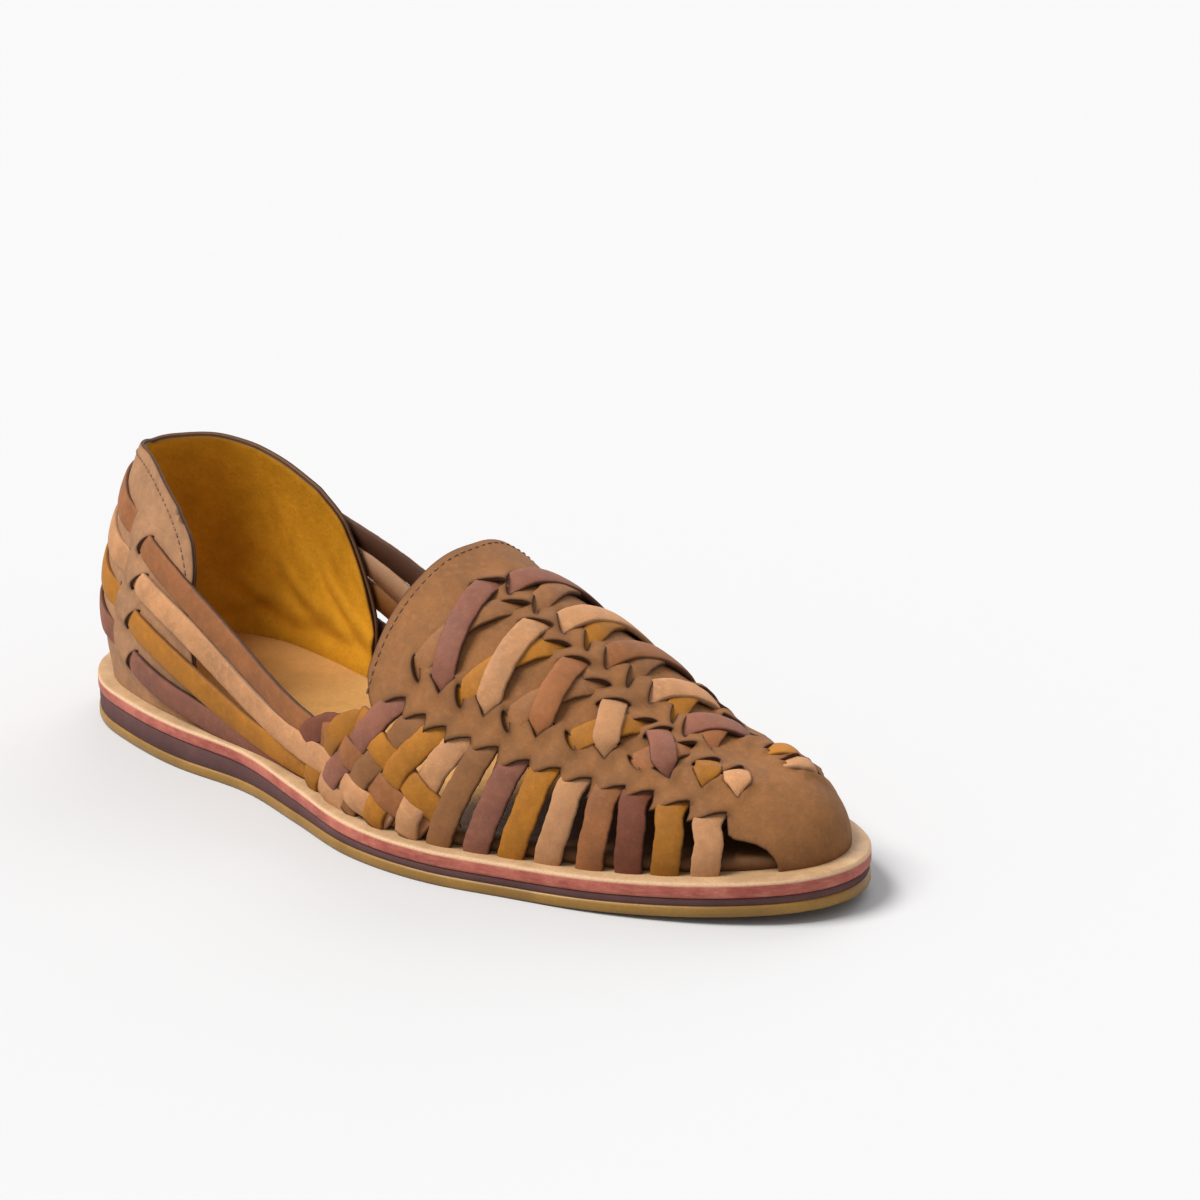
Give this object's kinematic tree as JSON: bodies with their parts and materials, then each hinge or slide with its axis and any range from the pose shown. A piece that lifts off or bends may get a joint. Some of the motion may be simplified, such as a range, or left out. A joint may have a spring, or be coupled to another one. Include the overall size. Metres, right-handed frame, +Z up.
{
  "type": "woven leather huarache sandal",
  "caption": "Low woven leather huarache: a slotted vamp with straps laced down each side, open waist straps, a heel counter and a flat stacked leather sole.",
  "frame": {"origin": "on the floor, under the middle of the shoe's own box", "axes": "+X to the toe, +Y to the inner (medial) side, +Z up, standing on its sole"},
  "size_m": [0.292, 0.1072, 0.0887],
  "materials": {
    "gum_rubber": "smooth amber gum",
    "dark_wedge": "matt dark brown microcellular",
    "sole_leather": "vegetable tanned, edge dyed red",
    "footbed_leather": "plain tan, smooth",
    "upper_leather": "nubuck, four browns in the straps",
    "counter_leather": "nubuck outside, smooth ochre lining"
  },
  "bodies": {
    "root": {"outsole": "gum_rubber", "midsole_wedge": "dark_wedge", "midsole": "sole_leather", "insole": "footbed_leather", "upper": "upper_leather", "heel_counter": "counter_leather"}
  },
  "joints": []
}
